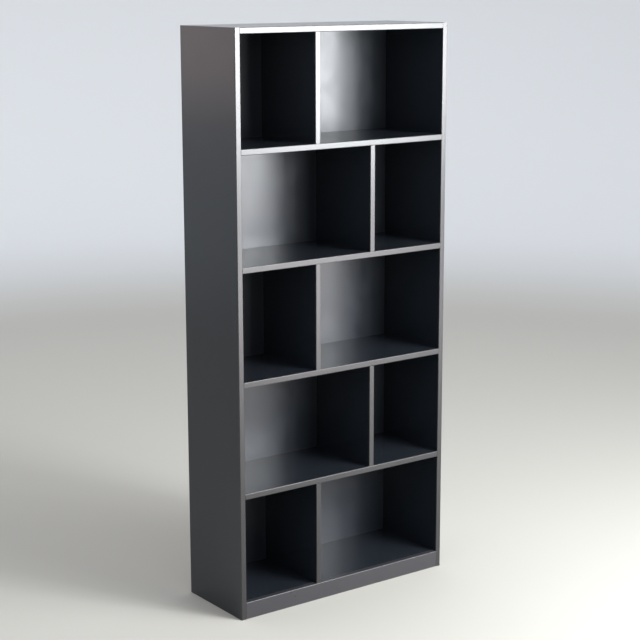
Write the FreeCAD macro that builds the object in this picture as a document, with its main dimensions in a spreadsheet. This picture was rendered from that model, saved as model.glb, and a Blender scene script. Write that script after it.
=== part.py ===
import FreeCAD, Part
import os
import Sketcher

# Open bookcase in five rows. Frame: origin on the floor at the middle of the footprint,
# +X to the right as seen from the front, +Y to the rear, +Z up. All lengths in millimetres.
# Every board is drawn in its own frame, with its left, front, lower corner at the origin,
# and its body's Placement puts it in the case.

document = FreeCAD.newDocument("Bookcase")
sheet = document.addObject("Spreadsheet::Sheet", "Sizes")

dimensions = [
    # the case
    ("caseWidth", 800),
    ("caseHeight", 1800),
    ("caseDepth", 295),
    ("boardThickness", 18),
    ("rowCount", 5),
    ("plinthHeight", 54),
    ("narrowOpening", 268),
    ("rearRailInset", 30),
    # edging strips
    ("edgingThickness", 2),
    ("edgingRadius", 1.8),
    ("topEdgingThickness", 1),
    ("arrisRadius", 0.5),
    # back panel in its groove; its front face lies backFaceDepth behind the front of the case
    ("backFaceDepth", 285),
    ("backThickness", 4),
    ("grooveWidth", 4.2),
    ("grooveDepth", 7),
    ("backInGroove", 6),
    # cam locks, their bolts and the dowels between them, as distances from the front of the case
    ("camFront", 50),
    ("camRear", 235),
    ("dowelFront", 82),
    ("dowelRear", 203),
    ("camSetback", 24),
    ("camBore", 15),
    ("camBoreDepth", 13.5),
    ("camDiameter", 14.8),
    ("camHeight", 12.6),
    ("camMouth", 7.4),
    ("camCrossLength", 7),
    ("camCrossWidth", 1.4),
    ("camCrossDepth", 3),
    ("boltBore", 8),
    ("boltThreadBore", 5),
    ("boltThreadDiameter", 4.9),
    ("boltThreadLength", 11),
    ("boltCollarDiameter", 7.6),
    ("boltCollarLength", 1.5),
    ("boltShaftDiameter", 5.8),
    ("boltShaftLength", 18),
    ("boltNeckDiameter", 4),
    ("boltHeadDiameter", 6.8),
    ("boltHeadLength", 3),
    # dowels
    ("plinthJointCount", 4),
    ("dowelBore", 8),
    ("dowelDiameter", 7.9),
    ("dowelLength", 30),
    ("dowelChamfer", 1),
    ("dowelInFace", 10),
    ("dowelClearance", 1),
    # screws up through a board into the divider that stands on it
    ("screwFront", 62),
    ("screwRear", 223),
    ("screwLength", 50),
    ("screwDiameter", 5),
    ("screwBore", 5.2),
    ("screwHeadDiameter", 9.6),
    ("screwHeadBore", 10),
    ("screwHeadLength", 3),
    # nails through the back panel
    ("nailsInShelf", 5),
    ("nailsInDivider", 2),
    ("nailLength", 20),
    ("nailDiameter", 1.2),
    ("nailBore", 1.4),
    ("nailHeadDiameter", 3),
    ("nailHeadThickness", 0.5),
]
for line, (alias, value) in enumerate(dimensions, start=1):
    sheet.set("A%d" % line, alias)
    sheet.set("B%d" % line, str(value))
    sheet.setAlias("B%d" % line, alias)
document.recompute()

rows = int(sheet.get("rowCount"))
shelf_nails = int(sheet.get("nailsInShelf"))
divider_nails = int(sheet.get("nailsInDivider"))
plinth_joint_count = int(sheet.get("plinthJointCount"))

# Lengths that follow from the driving dimensions
thickness = "Sizes.boardThickness"
edging = "Sizes.edgingThickness"
inner_width = "(Sizes.caseWidth - 2 * Sizes.boardThickness)"
level_pitch = "((Sizes.caseHeight - Sizes.plinthHeight) / Sizes.rowCount)"
opening_height = "(%s - Sizes.boardThickness)" % level_pitch
rail_height = "(Sizes.plinthHeight - Sizes.boardThickness)"
core_depth = "(Sizes.backFaceDepth - Sizes.edgingThickness)"
case_left = "(-Sizes.caseWidth / 2)"
inner_left = "(-Sizes.caseWidth / 2 + Sizes.boardThickness)"
case_front = "(-Sizes.caseDepth / 2)"
core_front = "(-Sizes.caseDepth / 2 + Sizes.edgingThickness)"
end_bore_depth = "(Sizes.dowelLength - Sizes.dowelInFace + Sizes.dowelClearance)"
face_bore_depth = "(Sizes.dowelInFace + Sizes.dowelClearance)"
cam_places = ["Sizes.camFront", "Sizes.camRear"]
dowel_places = ["Sizes.dowelFront", "Sizes.dowelRear"]
screw_places = ["Sizes.screwFront", "Sizes.screwRear"]
plinth_dowel_heights = ["Sizes.plinthHeight / 4", "3 * Sizes.plinthHeight / 4"]
rail_dowel_heights = ["%s / 4" % rail_height, "3 * %s / 4" % rail_height]
rail_middle = "(Sizes.caseDepth - Sizes.rearRailInset - Sizes.boardThickness / 2)"


def board_bottom(level):
    """Height of the lower face of a level's board: 0 is the bottom panel, rows is the top panel."""
    return "(%s + %d * %s)" % (rail_height, level, level_pitch)


def shelf_level(shelf):
    """Level of a shelf counted from the top."""
    return rows - shelf


def divider_offset(row):
    """Left face of a row's divider, from the inner face of the left side. Rows count from the top."""
    if row % 2 == 1:
        return "Sizes.narrowOpening"
    return "(%s - Sizes.narrowOpening - Sizes.boardThickness)" % inner_width


def spread(length, count):
    """Places along a length, one in the middle of each of count equal stretches."""
    return ["(%s * %d / %d)" % (length, 2 * index + 1, 2 * count) for index in range(count)]


def from_core_front(place):
    return "(%s - Sizes.edgingThickness)" % place


nodes = []


def keep(part, label):
    part.Label = label
    nodes.append(part)


def place(part, left, front, bottom):
    part.setExpression("Placement.Base.x", left)
    part.setExpression("Placement.Base.y", front)
    part.setExpression("Placement.Base.z", bottom)


# Sketches and features of the boards

def new_sketch(body, name, role, offset="0"):
    support = [feature for feature in body.Origin.OriginFeatures if feature.Role == role][0]
    sketch = body.newObject("Sketcher::SketchObject", name)
    sketch.AttachmentSupport = [(support, "")]
    sketch.MapMode = "FlatFace"
    sketch.setExpression("AttachmentOffset.Base.z", offset)
    return sketch


def bind(sketch, constraint, expression):
    number = sketch.addConstraint(constraint)
    sketch.setExpression("Constraints[%d]" % number, expression)


def draw_rectangle(sketch, left, low, width, height):
    """A rectangle whose lower left corner is at left, low. An empty place puts it on the axis."""
    corners = [(1, 1), (2, 1), (2, 2), (1, 2)]
    vectors = [FreeCAD.Vector(across, up, 0) for across, up in corners]
    for side in range(4):
        sketch.addGeometry(Part.LineSegment(vectors[side], vectors[(side + 1) % 4]), False)
    for side in range(4):
        sketch.addConstraint(Sketcher.Constraint("Coincident", side, 2, (side + 1) % 4, 1))
        direction = "Horizontal" if side % 2 == 0 else "Vertical"
        sketch.addConstraint(Sketcher.Constraint(direction, side))
    if left:
        bind(sketch, Sketcher.Constraint("DistanceX", -1, 1, 0, 1, 1), left)
    else:
        sketch.addConstraint(Sketcher.Constraint("PointOnObject", 0, 1, -2))
    if low:
        bind(sketch, Sketcher.Constraint("DistanceY", -1, 1, 0, 1, 1), low)
    else:
        sketch.addConstraint(Sketcher.Constraint("PointOnObject", 0, 1, -1))
    bind(sketch, Sketcher.Constraint("DistanceX", 0, 1, 0, 2, 1), width)
    bind(sketch, Sketcher.Constraint("DistanceY", 1, 1, 1, 2, 1), height)


def draw_circles(sketch, centres, diameter):
    for across, up in centres:
        circle = Part.Circle(FreeCAD.Vector(1, 1, 0), FreeCAD.Vector(0, 0, 1), 1)
        number = sketch.addGeometry(circle, False)
        bind(sketch, Sketcher.Constraint("DistanceX", -1, 1, number, 3, 1), across)
        bind(sketch, Sketcher.Constraint("DistanceY", -1, 1, number, 3, 1), up)
        bind(sketch, Sketcher.Constraint("Diameter", number, 2), diameter)


def new_slab(label, role, width, height, depth):
    """A board as a rectangle on one origin plane, padded towards the positive side of its frame."""
    body = document.addObject("PartDesign::Body", label)
    keep(body, label)
    sketch = new_sketch(body, label + "Outline", role)
    draw_rectangle(sketch, "", "", width, height)
    pad = body.newObject("PartDesign::Pad", label + "Pad")
    pad.Profile = sketch
    pad.setExpression("Length", depth)
    pad.Reversed = role == "XZ_Plane"
    return body


def cut(body, sketch, name, depth, forwards):
    """Pocket of one sketch. Forwards cuts along the sketch's normal, otherwise against it."""
    document.recompute()
    before = body.Shape.Volume
    pocket = body.newObject("PartDesign::Pocket", name)
    pocket.Profile = sketch
    pocket.setExpression("Length", depth)
    pocket.Reversed = forwards
    document.recompute()
    if not body.Shape.Volume < before:
        raise RuntimeError("%s cuts nothing" % pocket.Name)


def bore(body, name, role, offset, centres, diameter, depth, forwards):
    sketch = new_sketch(body, name + "Circles", role, offset)
    draw_circles(sketch, centres, diameter)
    cut(body, sketch, name, depth, forwards)


def groove(body, name, role, offset, left, low, width, height, forwards):
    sketch = new_sketch(body, name + "Outline", role, offset)
    draw_rectangle(sketch, left, low, width, height)
    cut(body, sketch, name, "Sizes.grooveDepth", forwards)


def round_edges(body, name, radius, chosen):
    """Fillet of the edges whose box passes the test."""
    document.recompute()
    base = body.Tip
    names = []
    for number, edge in enumerate(base.Shape.Edges, start=1):
        if chosen(edge.BoundBox):
            names.append("Edge%d" % number)
    fillet = body.newObject("PartDesign::Fillet", name)
    fillet.Base = (base, names)
    fillet.setExpression("Radius", radius)


def on_front(box):
    """True for an edge that lies in the front plane of a part drawn in its own frame."""
    return abs(box.YMin) < 1e-6 and abs(box.YMax) < 1e-6


def along_x(box):
    return on_front(box) and box.XLength > box.ZLength


def along_z(box):
    return on_front(box) and box.ZLength > box.XLength


# The two sides

def bore_side(body, face, forwards):
    """Bores and back groove in a side's inner face, which lies at the given offset."""
    bolt_centres = []
    dowel_centres = []
    for level in range(rows + 1):
        middle = "(%s + %s / 2)" % (board_bottom(level), thickness)
        bolt_centres += [(from_core_front(depth), middle) for depth in cam_places]
        dowel_centres += [(from_core_front(depth), middle) for depth in dowel_places]
    plinth_middle = from_core_front("%s / 2" % thickness)
    dowel_centres += [(plinth_middle, height) for height in plinth_dowel_heights]
    dowel_centres += [(from_core_front(rail_middle), height) for height in rail_dowel_heights]
    name = body.Name
    bore(body, name + "BoltBores", "YZ_Plane", face, bolt_centres,
         "Sizes.boltThreadBore", "Sizes.boltThreadLength", forwards)
    bore(body, name + "DowelBores", "YZ_Plane", face, dowel_centres,
         "Sizes.dowelBore", face_bore_depth, forwards)
    groove(body, name + "Groove", "YZ_Plane", face, from_core_front("Sizes.backFaceDepth"), "",
           "Sizes.grooveWidth", "(Sizes.caseHeight - Sizes.topEdgingThickness)", forwards)


def make_side(label, left, inner_face, forwards):
    core_height = "(Sizes.caseHeight - Sizes.topEdgingThickness)"
    side = new_slab(label + "_panel", "YZ_Plane",
                    "(Sizes.caseDepth - Sizes.edgingThickness)", core_height, thickness)
    place(side, left, core_front, "0")
    bore_side(side, inner_face, forwards)
    front = new_slab(label + "_front_edging", "YZ_Plane", edging, "Sizes.caseHeight", thickness)
    place(front, left, case_front, "0")
    round_edges(front, front.Name + "Round", "Sizes.edgingRadius", along_z)
    top = new_slab(label + "_top_edging", "YZ_Plane",
                   "(Sizes.caseDepth - Sizes.edgingThickness)", "Sizes.topEdgingThickness", thickness)
    place(top, left, core_front, core_height)
    document.recompute()
    upper = sheet.get("topEdgingThickness")
    round_edges(top, top.Name + "Round", "Sizes.arrisRadius",
                lambda box: box.YLength > box.XLength and box.ZMin > upper - 1e-6)


make_side("left_side", case_left, thickness, False)
make_side("right_side", "(Sizes.caseWidth / 2 - Sizes.boardThickness)", "0", True)


# Boards that lie between the sides

def bore_ends(body, name, centres, diameter, depth):
    """The same bores in a lying board's left and right ends."""
    bore(body, name + "Left", "YZ_Plane", "0", centres, diameter, depth, True)
    bore(body, name + "Right", "YZ_Plane", inner_width, centres, diameter, depth, False)


def make_lying_board(label, level, front, depth):
    """A board at one level, with its cam, bolt, dowel, screw and divider bores.
    Front is where its core starts, as a distance behind the front of the case."""
    board = new_slab(label, "XY_Plane", inner_width, depth, thickness)
    place(board, inner_left, "(%s + %s)" % (case_front, front), board_bottom(level))
    middle = "(%s / 2)" % thickness
    cam_centres = []
    for across in ("Sizes.camSetback", "(%s - Sizes.camSetback)" % inner_width):
        cam_centres += [(across, "(%s - %s)" % (depth, front)) for depth in cam_places]
    bore(board, label + "CamBores", "XY_Plane", "0", cam_centres,
         "Sizes.camBore", "Sizes.camBoreDepth", True)
    bolt_centres = [("(%s - %s)" % (depth, front), middle) for depth in cam_places]
    bore_ends(board, label + "BoltBores", bolt_centres, "Sizes.boltBore", "Sizes.camSetback")
    dowel_centres = [("(%s - %s)" % (depth, front), middle) for depth in dowel_places]
    bore_ends(board, label + "DowelBores", dowel_centres, "Sizes.dowelBore", end_bore_depth)
    if level < rows:
        above = "(%s + %s / 2)" % (divider_offset(rows - level), thickness)
        centres = [(above, "(%s - %s)" % (depth, front)) for depth in screw_places]
        bore(board, label + "ScrewBores", "XY_Plane", "0", centres, "Sizes.screwBore", thickness, True)
        bore(board, label + "HeadBores", "XY_Plane", "0", centres,
             "Sizes.screwHeadBore", "Sizes.screwHeadLength", True)
    if level > 0:
        below = "(%s + %s / 2)" % (divider_offset(rows + 1 - level), thickness)
        centres = [(below, "(%s - %s)" % (depth, front)) for depth in dowel_places]
        bore(board, label + "DividerBores", "XY_Plane", "0", centres,
             "Sizes.dowelBore", face_bore_depth, True)
    return board


def make_lying_edging(label, level):
    strip = new_slab(label, "XY_Plane", inner_width, edging, thickness)
    place(strip, inner_left, case_front, board_bottom(level))
    round_edges(strip, label + "Round", "Sizes.edgingRadius", along_x)


top_panel = make_lying_board("top_panel", rows, edging, "(Sizes.caseDepth - Sizes.edgingThickness)")
groove(top_panel, "topGroove", "XY_Plane", "0", "", from_core_front("Sizes.backFaceDepth"),
       inner_width, "Sizes.grooveWidth", True)
make_lying_edging("top_front_edging", rows)

for shelf in range(1, rows):
    label = "shelf_%d" % shelf
    board = make_lying_board(label, shelf_level(shelf), edging, core_depth)
    nail_centres = [(across, "(%s / 2)" % thickness) for across in spread(inner_width, shelf_nails)]
    bore(board, label + "NailBores", "XZ_Plane", "-" + core_depth, nail_centres,
         "Sizes.nailBore", "Sizes.nailLength", True)
    make_lying_edging(label + "_front_edging", shelf_level(shelf))

bottom_panel = make_lying_board("bottom_panel", 0, thickness, "(Sizes.caseDepth - Sizes.boardThickness)")
groove(bottom_panel, "bottomGroove", "XY_Plane", thickness,
       "", "(Sizes.backFaceDepth - Sizes.boardThickness)", inner_width, "Sizes.grooveWidth", False)
bore(bottom_panel, "bottomFrontBores", "XZ_Plane", "0",
     [(across, "(%s / 2)" % thickness) for across in spread(inner_width, plinth_joint_count)],
     "Sizes.dowelBore", end_bore_depth, False)


# Dividers, one in each row, counted from the top

def make_divider(row):
    label = "divider_%d" % row
    left = "(%s + %s)" % (inner_left, divider_offset(row))
    bottom = "(%s + %s)" % (board_bottom(rows - row), thickness)
    middle = "(%s / 2)" % thickness
    divider = new_slab(label, "YZ_Plane", core_depth, opening_height, thickness)
    place(divider, left, core_front, bottom)
    bore(divider, label + "DowelBores", "XY_Plane", opening_height,
         [(middle, from_core_front(depth)) for depth in dowel_places],
         "Sizes.dowelBore", end_bore_depth, False)
    bore(divider, label + "ScrewBores", "XY_Plane", "0",
         [(middle, from_core_front(depth)) for depth in screw_places],
         "Sizes.screwBore", "(Sizes.screwLength - Sizes.boardThickness + Sizes.dowelClearance)", True)
    bore(divider, label + "NailBores", "XZ_Plane", "-" + core_depth,
         [(middle, height) for height in spread(opening_height, divider_nails)],
         "Sizes.nailBore", "Sizes.nailLength", True)
    strip = new_slab(label + "_front_edging", "YZ_Plane", edging, opening_height, thickness)
    place(strip, left, case_front, bottom)
    round_edges(strip, label + "EdgingRound", "Sizes.edgingRadius", along_z)


for row in range(1, rows + 1):
    make_divider(row)


# Front plinth rail, in front of the bottom panel, and the rear rail under it

front_plinth = new_slab("front_plinth_rail", "XZ_Plane", inner_width, "Sizes.plinthHeight", thickness)
place(front_plinth, inner_left, case_front, "0")
bore_ends(front_plinth, "plinthEndBores",
          [("(%s / 2)" % thickness, height) for height in plinth_dowel_heights],
          "Sizes.dowelBore", end_bore_depth)
bore(front_plinth, "plinthRearBores", "XZ_Plane", "-" + thickness,
     [(across, "(Sizes.plinthHeight - Sizes.boardThickness / 2)")
      for across in spread(inner_width, plinth_joint_count)],
     "Sizes.dowelBore", face_bore_depth, True)
round_edges(front_plinth, "plinthRound", "Sizes.edgingRadius", along_x)

rear_rail = new_slab("rear_plinth_rail", "XZ_Plane", inner_width, rail_height, thickness)
place(rear_rail, inner_left, "(Sizes.caseDepth / 2 - Sizes.rearRailInset - Sizes.boardThickness)", "0")
bore_ends(rear_rail, "railEndBores",
          [("(%s / 2)" % thickness, height) for height in rail_dowel_heights],
          "Sizes.dowelBore", end_bore_depth)


# Back panel, held on four sides in the groove and nailed to the shelves and dividers

back_bottom = "(Sizes.plinthHeight - Sizes.backInGroove)"
back_height = "(Sizes.caseHeight - Sizes.boardThickness - Sizes.plinthHeight + 2 * Sizes.backInGroove)"
back_panel = new_slab("back_panel", "XZ_Plane", "(%s + 2 * Sizes.backInGroove)" % inner_width,
                      back_height, "Sizes.backThickness")
place(back_panel, "(%s - Sizes.backInGroove)" % inner_left,
      "(%s + Sizes.backFaceDepth)" % case_front, back_bottom)

# Nail places in the case, measured from the inner face of the left side and from the floor
nail_places = []
for shelf in range(1, rows):
    height = "(%s + %s / 2)" % (board_bottom(shelf_level(shelf)), thickness)
    nail_places += [(across, height) for across in spread(inner_width, shelf_nails)]
for row in range(1, rows + 1):
    across = "(%s + %s / 2)" % (divider_offset(row), thickness)
    foot = "(%s + %s)" % (board_bottom(rows - row), thickness)
    for height in spread(opening_height, divider_nails):
        nail_places.append((across, "(%s + %s)" % (foot, height)))
bore(back_panel, "backNailBores", "XZ_Plane", "0",
     [("(%s + Sizes.backInGroove)" % across, "(%s - %s)" % (height, back_bottom))
      for across, height in nail_places],
     "Sizes.nailBore", "Sizes.backThickness", False)


# Fasteners: one master of each, and links that repeat it

def new_cylinder(name, diameter, length, start="0"):
    cylinder = document.addObject("Part::Cylinder", name)
    cylinder.setExpression("Radius", "%s / 2" % diameter)
    cylinder.setExpression("Height", length)
    cylinder.setExpression("Placement.Base.z", start)
    return cylinder


def new_box(name, length, width, height, bottom):
    """A box centred on the Z axis, standing on a given height."""
    box = document.addObject("Part::Box", name)
    box.setExpression("Length", length)
    box.setExpression("Width", width)
    box.setExpression("Height", height)
    place(box, "-%s / 2" % length, "-%s / 2" % width, bottom)
    return box


def joined(name, shapes):
    union = document.addObject("Part::MultiFuse", name)
    union.Shapes = shapes
    return union


def make_cam_lock():
    """Upright cam, open above and towards -X for the bolt's head, with a cross in its lower face."""
    drum = new_cylinder("camDrum", "Sizes.camDiameter", "Sizes.camHeight")
    mouth_bottom = "(Sizes.boardThickness / 2 - Sizes.camMouth / 2)"
    mouth = new_box("camMouthCut", "Sizes.camDiameter", "Sizes.camMouth",
                    "(Sizes.camHeight - %s)" % mouth_bottom, mouth_bottom)
    mouth.setExpression("Placement.Base.x", "-Sizes.camDiameter + Sizes.camMouth / 2")
    cross_along = new_box("camCrossAlong", "Sizes.camCrossLength", "Sizes.camCrossWidth",
                          "Sizes.camCrossDepth", "0")
    cross_over = new_box("camCrossOver", "Sizes.camCrossWidth", "Sizes.camCrossLength",
                         "Sizes.camCrossDepth", "0")
    cam = document.addObject("Part::Cut", "camLock")
    cam.Base = drum
    cam.Tool = joined("camCuts", [mouth, cross_along, cross_over])
    return cam


def make_cam_bolt():
    """Upright bolt whose thread is below zero, in the side, and whose head is above, in the cam."""
    shaft_start = "Sizes.boltCollarLength"
    neck_start = "(Sizes.boltCollarLength + Sizes.boltShaftLength)"
    head_start = "(Sizes.camSetback - Sizes.boltHeadLength / 2)"
    neck_length = "(%s - %s)" % (head_start, neck_start)
    thread = new_cylinder("boltThread", "Sizes.boltThreadDiameter", "Sizes.boltThreadLength",
                          "-Sizes.boltThreadLength")
    collar = new_cylinder("boltCollar", "Sizes.boltCollarDiameter", "Sizes.boltCollarLength")
    shaft = new_cylinder("boltShaft", "Sizes.boltShaftDiameter", "Sizes.boltShaftLength", shaft_start)
    neck = new_cylinder("boltNeck", "Sizes.boltNeckDiameter", neck_length, neck_start)
    head = new_cylinder("boltHead", "Sizes.boltHeadDiameter", "Sizes.boltHeadLength", head_start)
    return joined("camBolt", [thread, collar, shaft, neck, head])


def make_dowel():
    """Upright dowel with chamfered ends. Zero is the joint, with the shorter part below it."""
    rod = new_cylinder("dowelRod", "Sizes.dowelDiameter", "Sizes.dowelLength", "-Sizes.dowelInFace")
    document.recompute()
    chamfer = document.addObject("Part::Chamfer", "dowel")
    chamfer.Base = rod
    size = sheet.get("dowelChamfer")
    rims = []
    for number, edge in enumerate(rod.Shape.Edges, start=1):
        if edge.BoundBox.ZLength < size:
            rims.append((number, size, size))
    chamfer.Edges = rims
    return chamfer


def make_screw():
    """Upright screw that points up, its countersunk head flush with the board's underside at zero."""
    shank = new_cylinder("screwShank", "Sizes.screwDiameter", "Sizes.screwLength")
    head = document.addObject("Part::Cone", "screwHead")
    head.setExpression("Radius1", "Sizes.screwHeadDiameter / 2")
    head.setExpression("Radius2", "Sizes.screwDiameter / 2")
    head.setExpression("Height", "Sizes.screwHeadLength")
    return joined("screw", [shank, head])


def make_nail():
    """Upright nail: the head is above zero, on the back panel, and the shank below."""
    shank = new_cylinder("nailShank", "Sizes.nailDiameter", "Sizes.nailLength", "-Sizes.nailLength")
    head = new_cylinder("nailHead", "Sizes.nailHeadDiameter", "Sizes.nailHeadThickness")
    return joined("nail", [shank, head])


upright = FreeCAD.Rotation()
turned_left = FreeCAD.Rotation(FreeCAD.Vector(0, 0, 1), 180)
to_right = FreeCAD.Rotation(FreeCAD.Vector(0, 1, 0), 90)
to_left = FreeCAD.Rotation(FreeCAD.Vector(0, 1, 0), -90)
to_rear = FreeCAD.Rotation(FreeCAD.Vector(1, 0, 0), -90)
upside_down = FreeCAD.Rotation(FreeCAD.Vector(1, 0, 0), 180)


def repeat(label, master, spots):
    """A group of links to one master. A spot is a turn, then x, y and z as expressions."""
    links = []
    for number, (turn, left, front, bottom) in enumerate(spots, start=1):
        link = document.addObject("App::Link", "%s_%d" % (master.Name, number))
        link.LinkedObject = master
        link.Placement = FreeCAD.Placement(FreeCAD.Vector(), turn)
        place(link, left, front, bottom)
        links.append(link)
    group = document.addObject("Part::Compound", label)
    group.Links = links
    keep(group, label)


def behind_front(depth):
    return "(%s + %s)" % (case_front, depth)


inner_right = "(Sizes.caseWidth / 2 - Sizes.boardThickness)"
cam_lock = make_cam_lock()
cam_bolt = make_cam_bolt()
dowel = make_dowel()
screw = make_screw()
nail = make_nail()

lock_spots = []
bolt_spots = []
shelf_dowel_spots = []
for level in range(rows + 1):
    underside = board_bottom(level)
    middle = "(%s + %s / 2)" % (underside, thickness)
    for depth in cam_places:
        lock_spots.append((upright, "(%s + Sizes.camSetback)" % inner_left,
                           behind_front(depth), underside))
        lock_spots.append((turned_left, "(%s - Sizes.camSetback)" % inner_right,
                           behind_front(depth), underside))
        bolt_spots.append((to_right, inner_left, behind_front(depth), middle))
        bolt_spots.append((to_left, inner_right, behind_front(depth), middle))
    for depth in dowel_places:
        shelf_dowel_spots.append((to_right, inner_left, behind_front(depth), middle))
        shelf_dowel_spots.append((to_left, inner_right, behind_front(depth), middle))
repeat("cam_locks", cam_lock, lock_spots)
repeat("cam_bolts", cam_bolt, bolt_spots)
repeat("shelf_dowels", dowel, shelf_dowel_spots)

divider_dowel_spots = []
divider_screw_spots = []
for row in range(1, rows + 1):
    across = "(%s + %s + %s / 2)" % (inner_left, divider_offset(row), thickness)
    for depth in dowel_places:
        divider_dowel_spots.append((upside_down, across, behind_front(depth),
                                    board_bottom(rows + 1 - row)))
    for depth in screw_places:
        divider_screw_spots.append((upright, across, behind_front(depth), board_bottom(rows - row)))
repeat("divider_dowels", dowel, divider_dowel_spots)
repeat("divider_screws", screw, divider_screw_spots)

plinth_dowel_spots = []
plinth_middle = "(%s / 2)" % thickness
for depth, heights in ((plinth_middle, plinth_dowel_heights), (rail_middle, rail_dowel_heights)):
    for height in heights:
        plinth_dowel_spots.append((to_right, inner_left, behind_front(depth), height))
        plinth_dowel_spots.append((to_left, inner_right, behind_front(depth), height))
for across in spread(inner_width, plinth_joint_count):
    plinth_dowel_spots.append((to_rear, "(%s + %s)" % (inner_left, across), behind_front(thickness),
                               "(Sizes.plinthHeight - %s / 2)" % thickness))
repeat("plinth_dowels", dowel, plinth_dowel_spots)

back_face = "(%s + Sizes.backFaceDepth + Sizes.backThickness)" % case_front
repeat("back_panel_nails", nail,
       [(to_rear, "(%s + %s)" % (inner_left, across), back_face, height)
        for across, height in nail_places])


# Check every object, then write each piece

document.recompute()
for item in document.Objects:
    faults = [word for word in item.State if word in ("Invalid", "Error")]
    if faults:
        raise RuntimeError("%s is %s" % (item.Name, ", ".join(faults)))
for node in nodes:
    if node.Shape.isNull() or not node.Shape.isValid() or not node.Shape.Solids:
        raise RuntimeError("%s has no valid solid" % node.Label)

os.makedirs("parts", exist_ok=True)
for node in nodes:
    node.Shape.exportStep("parts/%s.step" % node.Label)
    print("%-26s %3d solids %12.1f mm3" % (node.Label, len(node.Shape.Solids), node.Shape.Volume))
print("%d nodes" % len(nodes))
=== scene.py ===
import bpy
import math
from mathutils import Matrix, Vector


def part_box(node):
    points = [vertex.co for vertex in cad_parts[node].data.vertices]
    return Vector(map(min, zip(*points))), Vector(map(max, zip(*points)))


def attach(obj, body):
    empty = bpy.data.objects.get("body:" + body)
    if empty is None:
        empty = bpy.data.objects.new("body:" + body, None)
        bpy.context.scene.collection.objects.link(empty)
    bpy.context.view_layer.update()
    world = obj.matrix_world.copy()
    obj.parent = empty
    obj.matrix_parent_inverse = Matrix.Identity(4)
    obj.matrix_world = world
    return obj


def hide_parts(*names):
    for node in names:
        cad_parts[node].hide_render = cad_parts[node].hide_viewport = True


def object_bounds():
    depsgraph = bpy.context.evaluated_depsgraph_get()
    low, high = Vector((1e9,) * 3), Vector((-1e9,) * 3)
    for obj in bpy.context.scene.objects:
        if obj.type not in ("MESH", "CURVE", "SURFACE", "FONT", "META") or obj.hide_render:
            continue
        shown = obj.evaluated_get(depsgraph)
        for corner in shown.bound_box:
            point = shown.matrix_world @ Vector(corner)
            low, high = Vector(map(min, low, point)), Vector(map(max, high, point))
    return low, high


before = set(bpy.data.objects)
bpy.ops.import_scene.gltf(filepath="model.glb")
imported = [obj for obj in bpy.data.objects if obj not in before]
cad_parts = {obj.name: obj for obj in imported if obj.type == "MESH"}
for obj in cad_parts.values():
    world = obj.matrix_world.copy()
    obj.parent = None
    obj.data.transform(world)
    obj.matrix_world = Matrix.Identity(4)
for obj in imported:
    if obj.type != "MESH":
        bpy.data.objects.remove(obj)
cadLow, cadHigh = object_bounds()
print("frame loaded")

upright = ["left_side_panel", "right_side_panel"] + ["divider_%d" % row for row in range(1, 6)]
lying = ["top_panel", "bottom_panel"] + ["shelf_%d" % shelf for shelf in range(1, 5)]
rails = ["front_plinth_rail", "rear_plinth_rail"]


# Node helpers

def newTree(name):
    material = bpy.data.materials.new(name)
    material.use_nodes = True
    material.node_tree.nodes.clear()
    return material, material.node_tree


def addNode(tree, kind, **settings):
    node = tree.nodes.new(kind)
    for key, value in settings.items():
        setattr(node, key, value)
    return node


def objectPlaces(tree, scale=(1, 1, 1)):
    coordinates = addNode(tree, "ShaderNodeTexCoord")
    mapping = addNode(tree, "ShaderNodeMapping")
    mapping.inputs["Scale"].default_value = scale
    tree.links.new(coordinates.outputs["Object"], mapping.inputs["Vector"])
    return mapping.outputs["Vector"]


def newGroup(name, inputs, outputs):
    group = bpy.data.node_groups.new(name, "ShaderNodeTree")
    for socketName, kind, value in inputs:
        socket = group.interface.new_socket(socketName, in_out="INPUT", socket_type="NodeSocket" + kind)
        if value is not None:
            socket.default_value = value
    for socketName, kind in outputs:
        group.interface.new_socket(socketName, in_out="OUTPUT", socket_type="NodeSocket" + kind)
    return group, addNode(group, "NodeGroupInput"), addNode(group, "NodeGroupOutput")


def fill(tree, socket, value):
    # A number or a colour is set on the socket, and another node's output is linked to it
    if isinstance(value, (int, float, tuple)):
        socket.default_value = value
    else:
        tree.links.new(value, socket)


def mathNode(tree, operation, first, second=None, third=None, clamp=False):
    node = addNode(tree, "ShaderNodeMath", operation=operation, use_clamp=clamp)
    for number, value in enumerate((first, second, third)):
        if value is not None:
            fill(tree, node.inputs[number], value)
    return node.outputs[0]


def mixColours(tree, factor, first, second):
    node = addNode(tree, "ShaderNodeMix", data_type="RGBA")
    for number, value in ((0, factor), (6, first), (7, second)):
        fill(tree, node.inputs[number], value)
    return node.outputs[2]


def mixFloats(tree, factor, first, second):
    node = addNode(tree, "ShaderNodeMix", data_type="FLOAT")
    for number, value in ((0, factor), (2, first), (3, second)):
        fill(tree, node.inputs[number], value)
    return node.outputs[0]


def noiseNode(tree, vector, scale, detail, roughness):
    node = addNode(tree, "ShaderNodeTexNoise")
    values = {"Vector": vector, "Scale": scale, "Detail": detail, "Roughness": roughness}
    for name, value in values.items():
        fill(tree, node.inputs[name], value)
    return node.outputs["Fac"]


def useGroup(tree, group, values):
    node = addNode(tree, "ShaderNodeGroup", node_tree=group)
    for name, value in values.items():
        fill(tree, node.inputs[name], value)
    return node


def addBump(tree, height, strength, distance, under=None):
    bump = addNode(tree, "ShaderNodeBump")
    for name, value in (("Strength", strength), ("Distance", distance), ("Height", height)):
        fill(tree, bump.inputs[name], value)
    if under:
        fill(tree, bump.inputs["Normal"], under)
    return bump.outputs["Normal"]


def sharpen(tree, value, level, gain):
    # What lies above the level, steepened and held between zero and one
    return mathNode(tree, "MULTIPLY", mathNode(tree, "SUBTRACT", value, level), gain, clamp=True)


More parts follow.
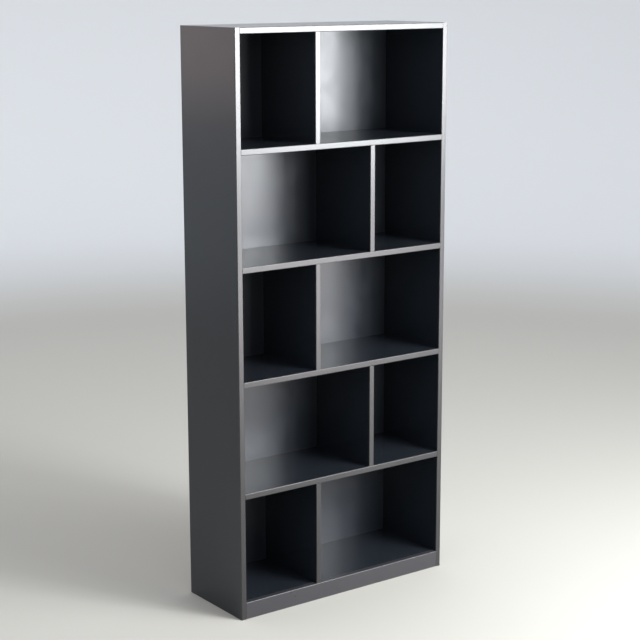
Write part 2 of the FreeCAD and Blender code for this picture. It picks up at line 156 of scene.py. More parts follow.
def finishMaterial(tree, colour, roughness, normal):
    shader = addNode(tree, "ShaderNodeBsdfPrincipled")
    output = addNode(tree, "ShaderNodeOutputMaterial")
    tree.links.new(colour, shader.inputs["Base Color"])
    tree.links.new(roughness, shader.inputs["Roughness"])
    tree.links.new(normal, shader.inputs["Normal"])
    tree.links.new(shader.outputs[0], output.inputs[0])
    return shader


# Shared effects. Each group is built once and takes its own values in every material

def makeLaminateGroup():
    group, start, end = newGroup(
        "laminateGrain",
        [("Grain Vector", "Vector", None), ("Vector", "Vector", None), ("Grain Scale", "Float", 1.0),
         ("Cloud Scale", "Float", 3.0), ("Smudge Scale", "Float", 20.0),
         ("Dark", "Color", (0.01, 0.01, 0.012, 1)), ("Light", "Color", (0.02, 0.02, 0.024, 1)),
         ("Roughness", "Float", 0.3), ("Grain Spread", "Float", 0.1), ("Smudge Spread", "Float", 0.1)],
        [("Color", "Color"), ("Roughness", "Float"), ("Height", "Float")])
    streaks = noiseNode(group, start.outputs["Grain Vector"], start.outputs["Grain Scale"], 6, 0.65)
    poreVector = addNode(group, "ShaderNodeVectorMath", operation="SCALE")
    poreVector.inputs["Scale"].default_value = 4.3  # pores are finer than the streaks they lie in
    group.links.new(start.outputs["Grain Vector"], poreVector.inputs[0])
    pores = noiseNode(group, poreVector.outputs[0], start.outputs["Grain Scale"], 3, 0.5)
    clouds = noiseNode(group, start.outputs["Vector"], start.outputs["Cloud Scale"], 3, 0.5)
    smudges = noiseNode(group, start.outputs["Vector"], start.outputs["Smudge Scale"], 4, 0.6)
    blend = mathNode(group, "MULTIPLY_ADD", streaks, 0.6, mathNode(group, "MULTIPLY", clouds, 0.4))
    colour = mixColours(group, blend, start.outputs["Dark"], start.outputs["Light"])
    grainOffset = mathNode(group, "MULTIPLY", mathNode(group, "SUBTRACT", blend, 0.5),
                           start.outputs["Grain Spread"])
    smudgeOffset = mathNode(group, "MULTIPLY", mathNode(group, "SUBTRACT", smudges, 0.5),
                            start.outputs["Smudge Spread"])
    roughness = mathNode(group, "ADD", start.outputs["Roughness"],
                         mathNode(group, "ADD", grainOffset, smudgeOffset))
    relief = mathNode(group, "MULTIPLY_ADD", streaks, 0.5, mathNode(group, "MULTIPLY", pores, 0.5))
    group.links.new(colour, end.inputs["Color"])
    group.links.new(roughness, end.inputs["Roughness"])
    group.links.new(relief, end.inputs["Height"])
    return group


wearAndHighlight = {
    "edgeGain": 4.0,
    "breakLevel": 0.42,
    "breakGain": 5.0,
}


def makeWearAndHighlightGroup():
    # Rubbed edges and a painted edge highlight: a lighter colour where the bevelled normal leaves the
    # true one, broken up by noise
    group, start, end = newGroup(
        "edgeWearAndHighlight",
        [("Vector", "Vector", None), ("Color", "Color", (0, 0, 0, 1)),
         ("Worn And Highlight Color", "Color", (0.06, 0.06, 0.06, 1)), ("Roughness", "Float", 0.3),
         ("Worn Roughness", "Float", 0.5), ("Width", "Float", 0.001), ("Amount", "Float", 0.5),
         ("Break Scale", "Float", 60.0)],
        [("Color", "Color"), ("Roughness", "Float")])
    bevel = addNode(group, "ShaderNodeBevel", samples=4)
    geometry = addNode(group, "ShaderNodeNewGeometry")
    group.links.new(start.outputs["Width"], bevel.inputs["Radius"])
    dot = addNode(group, "ShaderNodeVectorMath", operation="DOT_PRODUCT")
    group.links.new(bevel.outputs["Normal"], dot.inputs[0])
    group.links.new(geometry.outputs["Normal"], dot.inputs[1])
    edge = sharpen(group, mathNode(group, "SUBTRACT", 1.0, dot.outputs["Value"]), 0.0, wearAndHighlight["edgeGain"])
    breaks = noiseNode(group, start.outputs["Vector"], start.outputs["Break Scale"], 4, 0.6)
    patches = sharpen(group, breaks, wearAndHighlight["breakLevel"], wearAndHighlight["breakGain"])
    wornAndHighlit = mathNode(group, "MULTIPLY", edge, patches)
    mask = mathNode(group, "MULTIPLY", wornAndHighlit, start.outputs["Amount"])
    colour = mixColours(group, mask, start.outputs["Color"], start.outputs["Worn And Highlight Color"])
    group.links.new(colour, end.inputs["Color"])
    group.links.new(mixFloats(group, mask, start.outputs["Roughness"], start.outputs["Worn Roughness"]),
                    end.inputs["Roughness"])
    return group


dust = {
    "speckSize": 0.09,    # in cells of the speck pattern
    "spreadScale": 14.0,
    "spreadLevel": 0.5,
    "spreadGain": 6.0,
    "roughness": 0.9,
}


def makeDustGroup():
    # A thin film and single specks, on faces that look up
    group, start, end = newGroup(
        "settledDust",
        [("Vector", "Vector", None), ("Color", "Color", (0, 0, 0, 1)),
         ("Dust Color", "Color", (0.3, 0.29, 0.27, 1)), ("Roughness", "Float", 0.3),
         ("Film", "Float", 0.02), ("Specks", "Float", 0.3), ("Speck Scale", "Float", 300.0)],
        [("Color", "Color"), ("Roughness", "Float")])
    geometry = addNode(group, "ShaderNodeNewGeometry")
    parts = addNode(group, "ShaderNodeSeparateXYZ")
    group.links.new(geometry.outputs["Normal"], parts.inputs[0])
    upward = sharpen(group, parts.outputs["Z"], 0.5, 2.0)
    cells = addNode(group, "ShaderNodeTexVoronoi")
    group.links.new(start.outputs["Vector"], cells.inputs["Vector"])
    group.links.new(start.outputs["Speck Scale"], cells.inputs["Scale"])
    dots = mathNode(group, "LESS_THAN", cells.outputs["Distance"], dust["speckSize"])
    spread = noiseNode(group, start.outputs["Vector"], dust["spreadScale"], 4, 0.6)
    somewhere = sharpen(group, spread, dust["spreadLevel"], dust["spreadGain"])
    specks = mathNode(group, "MULTIPLY", dots, somewhere)
    specks = mathNode(group, "MULTIPLY", specks, start.outputs["Specks"])
    film = mathNode(group, "MULTIPLY", spread, upward)
    film = mathNode(group, "MULTIPLY", film, start.outputs["Film"])
    mask = mathNode(group, "ADD", mathNode(group, "MULTIPLY", specks, upward), film, clamp=True)
    colour = mixColours(group, mask, start.outputs["Color"], start.outputs["Dust Color"])
    group.links.new(colour, end.inputs["Color"])
    group.links.new(mixFloats(group, mask, start.outputs["Roughness"], dust["roughness"]),
                    end.inputs["Roughness"])
    return group


chipboard = {
    "fibreScale": 900.0,
    "fleckLevel": 0.9,
}


def makeChipboardGroup():
    # Raw chipboard: flat chips of two woods with dark flecks between them
    group, start, end = newGroup(
        "rawChipboard",
        [("Vector", "Vector", None), ("Chip Scale", "Float", 420.0),
         ("Pale", "Color", (0.46, 0.33, 0.2, 1)), ("Brown", "Color", (0.27, 0.17, 0.09, 1)),
         ("Fleck", "Color", (0.09, 0.055, 0.03, 1))],
        [("Color", "Color"), ("Height", "Float")])
    chips = addNode(group, "ShaderNodeTexVoronoi")
    group.links.new(start.outputs["Vector"], chips.inputs["Vector"])
    group.links.new(start.outputs["Chip Scale"], chips.inputs["Scale"])
    tone = addNode(group, "ShaderNodeSeparateColor")
    group.links.new(chips.outputs["Color"], tone.inputs[0])
    fibres = noiseNode(group, start.outputs["Vector"], chipboard["fibreScale"], 4, 0.7)
    wood = mixColours(group, mathNode(group, "MULTIPLY_ADD", tone.outputs[0], 0.7,
                                      mathNode(group, "MULTIPLY", fibres, 0.3)),
                      start.outputs["Pale"], start.outputs["Brown"])
    flecks = mathNode(group, "GREATER_THAN", tone.outputs[1], chipboard["fleckLevel"])
    group.links.new(mixColours(group, flecks, wood, start.outputs["Fleck"]), end.inputs["Color"])
    group.links.new(mathNode(group, "MULTIPLY_ADD", tone.outputs[2], 0.6,
                             mathNode(group, "MULTIPLY", fibres, 0.4)), end.inputs["Height"])
    return group


def makeFaceGroup():
    # One on faces square to an axis, and on upward ones where Upward is one
    group, start, end = newGroup(
        "facing", [("Normal", "Vector", None), ("Axis", "Vector", (0, 0, 1)), ("Upward", "Float", 0.0)],
        [("Mask", "Float")])
    dot = addNode(group, "ShaderNodeVectorMath", operation="DOT_PRODUCT")
    group.links.new(start.outputs["Normal"], dot.inputs[0])
    group.links.new(start.outputs["Axis"], dot.inputs[1])
    parts = addNode(group, "ShaderNodeSeparateXYZ")
    group.links.new(start.outputs["Normal"], parts.inputs[0])
    square = mathNode(group, "ABSOLUTE", dot.outputs["Value"])
    above = mathNode(group, "MULTIPLY", parts.outputs["Z"], start.outputs["Upward"])
    mask = mathNode(group, "GREATER_THAN", mathNode(group, "MAXIMUM", square, above), 0.6)
    group.links.new(mask, end.inputs["Mask"])
    return group


laminateGroup = makeLaminateGroup()
wearAndHighlightGroup = makeWearAndHighlightGroup()
dustGroup = makeDustGroup()
chipboardGroup = makeChipboardGroup()
faceGroup = makeFaceGroup()

# Black satin laminate on the boards
laminate = {
    "dark": (0.0068, 0.0092, 0.0132, 1),
    "light": (0.0125, 0.016, 0.0215, 1),
    "roughness": 0.23,
    "grainSpread": 0.06,
    "smudgeSpread": 0.12,
    "smudgeScale": 14,
    "cloudScale": 3,
    "grainStretch": 30,
    "grainScale": 260,
    "bumpDistance": 0.00003,
    "bumpStrength": 0.3,
    # The pale arrises are partly rubbed wear and partly a painted highlight along the edges
    "wornAndHighlightColour": (0.07, 0.065, 0.06, 1),
    "wornRoughness": 0.4,
    "wearAndHighlightWidth": 0.0008,
    "wearAndHighlightAmount": 0.5,
    "dustFilm": 0.012,
    "dustSpecks": 0.25,
    "chipRoughness": 0.85,
    "chipBump": 0.0002,
}

# The plinth rails are a tone lighter and a little duller
railFinish = {
    "dark": (0.021, 0.021, 0.0245, 1),
    "light": (0.032, 0.0315, 0.035, 1),
    "roughness": 0.3,
    "smudgeSpread": 0.12,
}


def grainScales(along):
    scale = [1, 1, 1]
    scale[along] = 1 / laminate["grainStretch"]
    return scale


def laminateLook(tree, along, finish):
    # Colour, roughness and grain relief of the laminate, with worn edges that carry a painted
    # highlight, and dust on it
    places = objectPlaces(tree)
    grain = useGroup(tree, laminateGroup, {
        "Vector": places, "Grain Vector": objectPlaces(tree, grainScales(along)),
        "Grain Scale": laminate["grainScale"], "Cloud Scale": laminate["cloudScale"],
        "Smudge Scale": laminate["smudgeScale"], "Dark": finish["dark"], "Light": finish["light"],
        "Roughness": finish["roughness"], "Grain Spread": laminate["grainSpread"],
        "Smudge Spread": finish["smudgeSpread"]})
    wornAndHighlit = useGroup(tree, wearAndHighlightGroup, {
        "Vector": places, "Color": grain.outputs["Color"], "Roughness": grain.outputs["Roughness"],
        "Worn And Highlight Color": laminate["wornAndHighlightColour"], "Worn Roughness": laminate["wornRoughness"],
        "Width": laminate["wearAndHighlightWidth"], "Amount": laminate["wearAndHighlightAmount"]})
    dusty = useGroup(tree, dustGroup, {
        "Vector": places, "Color": wornAndHighlit.outputs["Color"], "Roughness": wornAndHighlit.outputs["Roughness"],
        "Film": laminate["dustFilm"], "Specks": laminate["dustSpecks"]})
    return dusty.outputs["Color"], dusty.outputs["Roughness"], grain.outputs["Height"]


def makeBoard(name, along, axis, finish, upward=0.0):
    # Laminate on the faces square to the axis, raw chipboard on the edges and in the bores
    material, tree = newTree(name)
    colour, gloss, height = laminateLook(tree, along, finish)
    chips = useGroup(tree, chipboardGroup, {"Vector": objectPlaces(tree)})
    coordinates = addNode(tree, "ShaderNodeTexCoord")
    covered = useGroup(tree, faceGroup, {
        "Normal": coordinates.outputs["Normal"], "Axis": axis, "Upward": upward}).outputs["Mask"]
    fineBump = addBump(tree, height, laminate["bumpStrength"], laminate["bumpDistance"])
    bare = mathNode(tree, "SUBTRACT", 1.0, covered)
    coarse = mathNode(tree, "MULTIPLY", chips.outputs["Height"], bare)
    bump = addBump(tree, coarse, 1.0, laminate["chipBump"], fineBump)
    finishMaterial(tree, mixColours(tree, covered, chips.outputs["Color"], colour),
                   mixFloats(tree, covered, laminate["chipRoughness"], gloss), bump)
    return material


# Plastic strips glued to the front edges: smoother than the boards, with the grain only faintly in it
edging = {
    "dark": (0.012, 0.012, 0.0135, 1),
    "light": (0.02, 0.0195, 0.021, 1),
    "roughness": 0.31,
    "grainSpread": 0.06,
    "smudgeSpread": 0.08,
    # Pinkish grey arrises: partly rubbed wear, partly a painted highlight along the rounded front edges
    "wornAndHighlightColour": (0.16, 0.15, 0.15, 1),
    "wornRoughness": 0.32,
    "wearAndHighlightWidth": 0.0012,
    "wearAndHighlightAmount": 0.55,
    "wearBreaks": 35,
    "cloudScale": 6,
    "smudgeScale": 40,
    "bumpDistance": 0.00002,
}


def makeEdging(name, along):
    material, tree = newTree(name)
    places = objectPlaces(tree)
    grain = useGroup(tree, laminateGroup, {
        "Vector": places, "Grain Vector": objectPlaces(tree, grainScales(along)),
        "Grain Scale": laminate["grainScale"], "Cloud Scale": edging["cloudScale"],
        "Smudge Scale": edging["smudgeScale"],
        "Dark": edging["dark"], "Light": edging["light"], "Roughness": edging["roughness"],
        "Grain Spread": edging["grainSpread"], "Smudge Spread": edging["smudgeSpread"]})
    wornAndHighlit = useGroup(tree, wearAndHighlightGroup, {
        "Vector": places, "Color": grain.outputs["Color"], "Roughness": grain.outputs["Roughness"],
        "Worn And Highlight Color": edging["wornAndHighlightColour"], "Worn Roughness": edging["wornRoughness"],
        "Width": edging["wearAndHighlightWidth"], "Amount": edging["wearAndHighlightAmount"],
        "Break Scale": edging["wearBreaks"]})
    bump = addBump(tree, grain.outputs["Height"], laminate["bumpStrength"], edging["bumpDistance"])
    finishMaterial(tree, wornAndHighlit.outputs["Color"], wornAndHighlit.outputs["Roughness"], bump)
    return material


# Back panel: hardboard with a printed black face, bare brown behind, where the mesh of the press shows
backSheet = {
    "dark": laminate["dark"],
    "light": laminate["light"],
    "roughness": 0.35,
    "smudgeSpread": 0.22,
    "brown": (0.17, 0.09, 0.045, 1),
    "paleFibre": (0.3, 0.18, 0.1, 1),
    "rearRoughness": 0.7,
    "fibreScale": 260,
    "patchScale": 9,
    "meshPitch": 0.0016,
    "meshDepth": 0.00012,
}


def makeBackSheet(name):
    material, tree = newTree(name)
    colour, roughness, height = laminateLook(tree, 2, backSheet)
    places = objectPlaces(tree)
    fibres = noiseNode(tree, places, backSheet["fibreScale"], 6, 0.75)
    patches = noiseNode(tree, places, backSheet["patchScale"], 3, 0.5)
    brown = mixColours(tree, mathNode(tree, "MULTIPLY_ADD", fibres, 0.7,
                                      mathNode(tree, "MULTIPLY", patches, 0.3)),
                       backSheet["brown"], backSheet["paleFibre"])
    coordinates = addNode(tree, "ShaderNodeTexCoord")
    parts = addNode(tree, "ShaderNodeSeparateXYZ")
    tree.links.new(coordinates.outputs["Normal"], parts.inputs[0])
    front = mathNode(tree, "LESS_THAN", parts.outputs["Y"], -0.5)
    bare = mathNode(tree, "SUBTRACT", 1.0, front)
    lines = []
    for direction in ("X", "Z"):
        wave = addNode(tree, "ShaderNodeTexWave", bands_direction=direction)
        wave.inputs["Scale"].default_value = math.pi / (10 * backSheet["meshPitch"])  # one wave a pitch
        tree.links.new(places, wave.inputs["Vector"])
        lines.append(wave.outputs["Fac"])
    mesh = mathNode(tree, "MULTIPLY", mathNode(tree, "MULTIPLY", *lines), bare)
    meshBump = addBump(tree, mesh, 1.0, backSheet["meshDepth"])
    bump = addBump(tree, height, laminate["bumpStrength"], laminate["bumpDistance"], meshBump)
    finishMaterial(tree, mixColours(tree, front, brown, colour),
                   mixFloats(tree, front, backSheet["rearRoughness"], roughness), bump)
    return material


# Metal and wood of the fasteners
castZinc = {
    "dark": (0.32, 0.32, 0.34, 1),
    "light": (0.56, 0.56, 0.58, 1),
    "bright": (0.8, 0.8, 0.82, 1),
    "roughness": 0.34,
    "spread": 0.24,
    "grainScale": 1400,
    "patchScale": 130,
    "bump": 0.00006,
}
platedSteel = {
    "dark": (0.5, 0.5, 0.47, 1),
    "light": (0.68, 0.68, 0.63, 1),
    "bright": (0.85, 0.85, 0.82, 1),
    "roughness": 0.2,
    "spread": 0.16,
    "grainScale": 2200,
    "patchScale": 300,
    "bump": 0.00002,
}
beechWood = {
    "dark": (0.42, 0.24, 0.12, 1),
    "light": (0.66, 0.45, 0.27, 1),
    "bright": (0.7, 0.5, 0.32, 1),
    "roughness": 0.55,
    "spread": 0.2,
    "grainScale": 900,
    "patchScale": 180,
    "bump": 0.00008,
}
fastenerWear = {"Width": 0.0004, "Amount": 0.6, "Break Scale": 220}


def makeFastener(name, look, metallic):
    material, tree = newTree(name)
    places = objectPlaces(tree)
    grain = noiseNode(tree, places, look["grainScale"], 5, 0.7)
    patches = noiseNode(tree, places, look["patchScale"], 3, 0.5)
    blend = mathNode(tree, "MULTIPLY_ADD", grain, 0.5, mathNode(tree, "MULTIPLY", patches, 0.5))
    roughness = mathNode(tree, "MULTIPLY_ADD", blend, look["spread"], look["roughness"])
    wornAndHighlit = useGroup(tree, wearAndHighlightGroup, {
        "Vector": places, "Color": mixColours(tree, blend, look["dark"], look["light"]),
        "Roughness": roughness, "Worn And Highlight Color": look["bright"], "Worn Roughness": look["roughness"],
        **fastenerWear})
    shader = finishMaterial(tree, wornAndHighlit.outputs["Color"], wornAndHighlit.outputs["Roughness"],
                            addBump(tree, grain, 0.6, look["bump"]))
    shader.inputs["Metallic"].default_value = metallic
    return material


uprightBoard = makeBoard("uprightBoard", 2, (1, 0, 0), laminate)
lyingBoard = makeBoard("lyingBoard", 0, (0, 0, 1), laminate)
railBoard = makeBoard("railBoard", 0, (0, 1, 0), railFinish, 1.0)
backBoard = makeBackSheet("backBoard")
uprightEdging = makeEdging("uprightEdging", 2)
lyingEdging = makeEdging("lyingEdging", 0)
deepEdging = makeEdging("deepEdging", 1)
zinc = makeFastener("castZinc", castZinc, 1.0)
steel = makeFastener("platedSteel", platedSteel, 1.0)
beech = makeFastener("beechWood", beechWood, 0.0)


def setMaterial(name, material):
    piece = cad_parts[name]
    piece.data.materials.clear()
    piece.data.materials.append(material)


for name in upright:
    setMaterial(name, uprightBoard)
for name in lying:
    setMaterial(name, lyingBoard)
for name in rails:
    setMaterial(name, railBoard)
setMaterial("back_panel", backBoard)
for name in ("left_side_top_edging", "right_side_top_edging"):
    setMaterial(name, deepEdging)
setMaterial("cam_locks", zinc)
for name in ("cam_bolts", "divider_screws", "back_panel_nails"):
    setMaterial(name, steel)
for name in ("shelf_dowels", "divider_dowels", "plinth_dowels"):
    setMaterial(name, beech)
print("materials set")


# Front edging strips, each family modelled once and copied to its other places

strip = {
    "roundRadius": 0.0018,    # the two long arrises in front
    "roundSegments": 6,
    "jointRound": 0.00015,    # every other edge, which leaves a fine line at the joints
    "smoothAngle": 40,
    "sharpAngle": 60,
    "planeTolerance": 0.00001,
}
stripFamilies = [
    ("left_side", ["right_side"]),
    ("top", ["shelf_%d" % shelf for shelf in range(1, 5)]),
    ("divider_1", ["divider_%d" % row for row in range(2, 6)]),
]


def addBlock(name, low, high):
    bpy.ops.object.select_all(action="DESELECT")
    bpy.ops.mesh.primitive_cube_add(size=1, location=(low + high) / 2, scale=high - low)
    block = bpy.context.active_object
    block.name = name
    block.data.name = name
    bpy.ops.object.transform_apply(location=True, rotation=False, scale=True)
    return block


def selectEdges(piece, chosen):
    bpy.ops.object.mode_set(mode="EDIT")
    bpy.ops.mesh.select_mode(type="EDGE")
    bpy.ops.mesh.select_all(action="DESELECT")
    bpy.ops.object.mode_set(mode="OBJECT")
    places = [vertex.co for vertex in piece.data.vertices]
    for edge in piece.data.edges:
        first, second = edge.vertices
        edge.select = chosen(places[first], places[second])
    bpy.ops.object.mode_set(mode="EDIT")


def selectFaces(piece, chosen):
    bpy.ops.object.mode_set(mode="EDIT")
    bpy.ops.mesh.select_mode(type="FACE")
    bpy.ops.mesh.select_all(action="DESELECT")
    bpy.ops.object.mode_set(mode="OBJECT")
    for face in piece.data.polygons:
        face.select = chosen(face)
    bpy.ops.object.mode_set(mode="EDIT")


def applyModifier(piece, kind, **settings):
    modifier = piece.modifiers.new("shape", kind)
    for key, value in settings.items():
        setattr(modifier, key, value)
    bpy.ops.object.modifier_apply(modifier="shape")


def smoothFaces(piece, degrees):
    bpy.ops.object.select_all(action="DESELECT")
    piece.select_set(True)
    bpy.context.view_layer.objects.active = piece
    bpy.ops.object.shade_smooth_by_angle(angle=math.radians(degrees))


def modelStrip(name, node, material):
    low, high = [Vector(corner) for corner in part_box(node)]
    piece = addBlock(name, low, high)
    size = high - low
    longAxis = 0 if size.x > size.z else 2

    def inFront(first, second):
        onFront = max(first.y, second.y) < low.y + strip["planeTolerance"]
        return onFront and abs(first[longAxis] - second[longAxis]) > size[longAxis] / 2

    selectEdges(piece, inFront)
    bpy.ops.mesh.bevel(offset=strip["roundRadius"], segments=strip["roundSegments"], affect="EDGES")
    bpy.ops.object.mode_set(mode="OBJECT")
    applyModifier(piece, "BEVEL", width=strip["jointRound"], segments=2, limit_method="ANGLE",
                  angle_limit=math.radians(strip["sharpAngle"]))
    smoothFaces(piece, strip["smoothAngle"])
    applyModifier(piece, "WEIGHTED_NORMAL", keep_sharp=True)
    piece.data.materials.append(material)
    return piece


def copyPiece(piece, name, place):
    twin = piece.copy()
    twin.data = piece.data.copy()
    twin.name = name
    twin.data.name = name
    bpy.context.scene.collection.objects.link(twin)
    twin.data.transform(place)
    return twin


def keepPiece(piece, node):
    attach(piece, "root")
    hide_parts(node)


for first, others in stripFamilies:
    firstNode = first + "_front_edging"
    material = lyingEdging if first == "top" else uprightEdging
    master = modelStrip(first + "_strip", firstNode, material)
    start = Vector(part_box(firstNode)[0])
    for other in others:
        node = other + "_front_edging"
        shift = Matrix.Translation(Vector(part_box(node)[0]) - start)
        twin = copyPiece(master, other + "_strip", shift)
        keepPiece(twin, node)
    keepPiece(master, firstNode)
print("edging strips modelled")


# Cam locks: a drum with a rim, a cross for the driver and a pointer, open at one side for the bolt

cam = {
    "radius": 0.0074,
    "smoothAngle": 35,
    "drumSides": 48,
    "drumRound": 0.0004,
    "rimWidth": 0.0011,
    "faceDepth": 0.0004,
    "crossLength": 0.0076,
    "crossWidth": 0.0015,
    "crossDepth": 0.0032,
    "crossTaper": 0.75,
    "pointerSize": 0.0011,
    "pointerDepth": 0.0006,
    "pointerInset": 0.00176,
    "mouthWidth": 0.0074,
    "mouthBottom": 0.0053,
}


def addTool(low, high, taper=1.0):
    # A cutter block, whose upper face may be narrower than its lower one
    tool = addBlock("tool", Vector(low), Vector(high))
    if taper < 1.0:
        selectFaces(tool, lambda face: face.normal.z > 0.9)
        bpy.ops.transform.resize(value=(taper, taper, 1))
        bpy.ops.object.mode_set(mode="OBJECT")
    return tool


def cutAway(piece, tool):
    bpy.context.view_layer.objects.active = piece
    applyModifier(piece, "BOOLEAN", operation="DIFFERENCE", object=tool, solver="EXACT")
    bpy.data.objects.remove(tool)


def modelCam(radius, height):
    # Stands on the origin with its visible face down and its mouth towards -X
    bpy.ops.object.select_all(action="DESELECT")
    bpy.ops.mesh.primitive_cylinder_add(vertices=cam["drumSides"], radius=radius, depth=height,
                                        location=(0, 0, height / 2))
    piece = bpy.context.active_object
    bpy.ops.object.transform_apply(location=True, rotation=False, scale=False)
    selectFaces(piece, lambda face: face.normal.z < -0.9)
    bpy.ops.mesh.bevel(offset=cam["drumRound"], segments=2, affect="EDGES")
    bpy.ops.object.mode_set(mode="OBJECT")
    selectFaces(piece, lambda face: face.normal.z < -0.99)
    bpy.ops.mesh.inset(thickness=cam["rimWidth"])
    bpy.ops.mesh.inset(thickness=cam["faceDepth"] / 2, depth=-cam["faceDepth"])
    bpy.ops.object.mode_set(mode="OBJECT")
    half = cam["crossLength"] / 2
    thin = cam["crossWidth"] / 2
    deep = cam["crossDepth"]
    cutAway(piece, addTool((-half, -thin, -deep), (half, thin, deep), cam["crossTaper"]))
    cutAway(piece, addTool((-thin, -half, -deep), (thin, half, deep), cam["crossTaper"]))
    mouth = cam["mouthWidth"] / 2
    cutAway(piece, addTool((-2 * radius, -mouth, cam["mouthBottom"]), (mouth, mouth, 2 * height)))
    pointerPlace = radius - cam["rimWidth"] - cam["pointerInset"]
    bpy.ops.object.select_all(action="DESELECT")
    bpy.ops.mesh.primitive_cylinder_add(vertices=3, radius=cam["pointerSize"],
                                        depth=2 * (cam["pointerDepth"] + cam["faceDepth"]),
                                        location=(-pointerPlace, 0, 0), rotation=(0, 0, math.pi / 2))
    cutAway(piece, bpy.context.active_object)
    return piece


def makeCams():
    # Two at each end of every lying board, flush with its underside, at the CAD locks' places
    low, high = [Vector(corner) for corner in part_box("cam_locks")]
    radius = cam["radius"]
    master = modelCam(radius, high.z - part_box("top_panel")[0].z)
    smoothFaces(master, cam["smoothAngle"])
    master.data.materials.append(zinc)
    copies = []
    for board in lying:
        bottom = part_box(board)[0].z
        for depth in (low.y + radius, high.y - radius):
            for across, turn in ((low.x + radius, 0), (high.x - radius, math.pi)):
                place = Matrix.Translation((across, depth, bottom)) @ Matrix.Rotation(turn, 4, "Z")
                copies.append(copyPiece(master, "camLocks", place))
    bpy.data.objects.remove(master)
    bpy.ops.object.select_all(action="DESELECT")
    for copy in copies:
        copy.select_set(True)
    bpy.context.view_layer.objects.active = copies[0]
    bpy.ops.object.join()
    keepPiece(copies[0], "cam_locks")


makeCams()
print("cam locks modelled")


# Stage: pale floor, soft lights and the camera

stage = {
    "floorRadius": 6.5,
    "rimRadius": 2,
    "wallHeight": 3,
    "floorColour": (0.36, 0.35, 0.32, 1),
    "wallColour": (0.62, 0.63, 0.64, 1),
    "paleFrom": 4,    # from here outwards the floor's colour turns into the wall's
    "paleTo": 7,
    "roughness": 0.8,
    "rimSteps": 12,
    "turnSteps": 96,
    "worldColour": (0.92, 0.95, 1, 1),
    "worldStrength": 1.15,
}

# Soft boxes: azimuth 0 is in front of the case and 90 at its right; distances and sizes in metres
softBoxes = {
    "highWindow": {"azimuth": 24, "distance": 3.2, "height": 2.45, "width": 0.8, "tall": 0.8,
                   "radiance": 78, "colour": (0.97, 0.99, 1)},
    "upperPane": {"azimuth": 24, "distance": 3.15, "height": 1.8, "width": 0.9, "tall": 0.5,
                  "radiance": 21, "colour": (0.98, 0.99, 1)},
    "middlePane": {"azimuth": 33, "distance": 3.15, "height": 1.4, "width": 1.0, "tall": 0.7,
                   "radiance": 40, "colour": (0.94, 0.97, 1)},
    "rightPane": {"azimuth": 45, "distance": 3.2, "height": 1.75, "width": 1.0, "tall": 0.7,
                  "radiance": 20, "colour": (0.97, 0.98, 1)},
    "frontWindow": {"azimuth": 12, "distance": 3.1, "height": 1.4, "width": 0.67, "tall": 1.4,
                    "radiance": 17, "colour": (0.98, 0.99, 1)},
    "lowWindow": {"azimuth": 30, "distance": 3.2, "height": 0.4, "width": 1.6, "tall": 0.6,
                  "radiance": 11, "colour": (1, 0.94, 0.95)},
    "leftWall": {"azimuth": -142, "distance": 4, "height": 2.0, "width": 3, "tall": 1.4,
                 "radiance": 1.0, "colour": (1, 0.76, 0.72)},
}


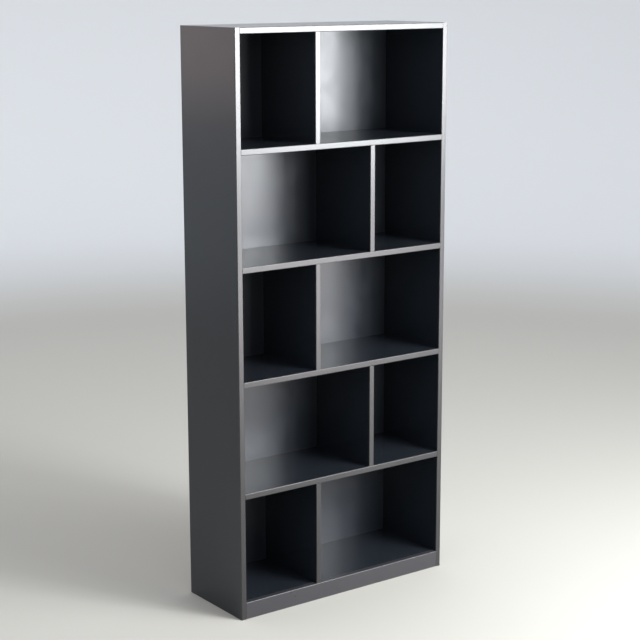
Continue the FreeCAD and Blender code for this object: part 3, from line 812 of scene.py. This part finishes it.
def makeFloor():
    bpy.ops.object.select_all(action="DESELECT")
    flat = stage["floorRadius"]
    rim = stage["rimRadius"]
    steps = stage["rimSteps"]
    profile = [(0.0, cadLow.z), (flat, cadLow.z)]
    for step in range(1, steps + 1):
        turn = math.pi / 2 * step / steps
        profile.append((flat + rim * math.sin(turn), cadLow.z + rim * (1 - math.cos(turn))))
    profile.append((flat + rim, stage["wallHeight"]))
    mesh = bpy.data.meshes.new("floor")
    mesh.from_pydata([(radius, 0, height) for radius, height in profile],
                     [(number, number + 1) for number in range(len(profile) - 1)], [])
    floor = bpy.data.objects.new("floor", mesh)
    bpy.context.scene.collection.objects.link(floor)
    bpy.context.view_layer.objects.active = floor
    screw = floor.modifiers.new("turn", "SCREW")
    screw.steps = stage["turnSteps"]
    screw.render_steps = stage["turnSteps"]
    screw.use_merge_vertices = True
    screw.use_normal_calculate = True
    bpy.ops.object.modifier_apply(modifier="turn")
    material, tree = newTree("paleFloor")
    away = addNode(tree, "ShaderNodeVectorMath", operation="LENGTH")
    tree.links.new(objectPlaces(tree), away.inputs[0])
    rise = addNode(tree, "ShaderNodeMapRange", interpolation_type="SMOOTHSTEP")
    rise.inputs["From Min"].default_value = stage["paleFrom"]
    rise.inputs["From Max"].default_value = stage["paleTo"]
    tree.links.new(away.outputs["Value"], rise.inputs["Value"])
    shader = addNode(tree, "ShaderNodeBsdfPrincipled")
    shader.inputs["Roughness"].default_value = stage["roughness"]
    output = addNode(tree, "ShaderNodeOutputMaterial")
    tree.links.new(mixColours(tree, rise.outputs["Result"], stage["floorColour"], stage["wallColour"]),
                   shader.inputs["Base Color"])
    tree.links.new(shader.outputs[0], output.inputs[0])
    floor.data.materials.append(material)
    floor.data.polygons.foreach_set("use_smooth", [True] * len(floor.data.polygons))


def makeSoftBox(name, box):
    data = bpy.data.lights.new(name, "AREA")
    data.shape = "RECTANGLE"
    data.size = box["width"]
    data.size_y = box["tall"]
    data.energy = box["radiance"] * math.pi * box["width"] * box["tall"]
    data.color = box["colour"]
    lamp = bpy.data.objects.new(name, data)
    bpy.context.scene.collection.objects.link(lamp)
    turn = math.radians(box["azimuth"])
    lamp.location = (box["distance"] * math.sin(turn), -box["distance"] * math.cos(turn), box["height"])
    lamp.rotation_euler = (math.pi / 2, 0, turn)  # level, facing the case


makeFloor()
for boxName, box in softBoxes.items():
    makeSoftBox(boxName, box)
world = bpy.data.worlds.new("studio")
bpy.context.scene.world = world
world.use_nodes = True
background = world.node_tree.nodes["Background"]
background.inputs["Color"].default_value = stage["worldColour"]
background.inputs["Strength"].default_value = stage["worldStrength"]

view = {
    "place": (-2.9747, -4.0500, 1.9477),
    "yaw": 0.635,
    "pitch": -0.211,
    "roll": -0.002,
    "lens": 90.75,
    "sensor": 36,
}
cameraData = bpy.data.cameras.new("camera")
cameraData.lens = view["lens"]
cameraData.sensor_width = view["sensor"]
camera = bpy.data.objects.new("camera", cameraData)
bpy.context.scene.collection.objects.link(camera)
turned = (Matrix.Rotation(-view["yaw"], 4, "Z") @ Matrix.Rotation(math.pi / 2 + view["pitch"], 4, "X")
          @ Matrix.Rotation(view["roll"], 4, "Z"))
camera.matrix_world = Matrix.Translation(view["place"]) @ turned
bpy.context.scene.camera = camera
bpy.context.scene.view_settings.view_transform = "Standard"
print("stage and camera set")
